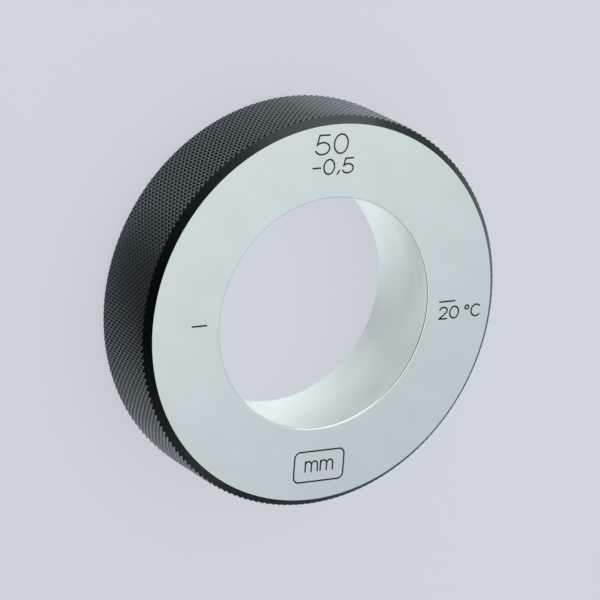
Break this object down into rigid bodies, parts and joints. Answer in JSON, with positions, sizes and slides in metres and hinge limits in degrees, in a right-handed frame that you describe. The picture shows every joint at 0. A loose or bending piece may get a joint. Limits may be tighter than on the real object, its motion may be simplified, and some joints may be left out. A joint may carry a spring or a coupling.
{
  "type": "setting ring",
  "caption": "Hardened steel setting ring: flat ground faces, a lapped cylindrical bore with fine end chamfers, and a diamond-knurled rim between turned chamfers.",
  "frame": {"origin": "centre of the bore on the rear face, which the ring lies on", "axes": "+Z along the bore's axis towards the marked front face, +Y towards the size marking"},
  "size_m": [0.085, 0.085, 0.02],
  "materials": {
    "hardened_steel": "fine ground faces and lapped bore",
    "black_oxide": "satin black oxide on the knurled rim and its chamfers, and black in the engraved marks"
  },
  "bodies": {
    "root": {"setting_ring": "hardened_steel"}
  },
  "joints": []
}
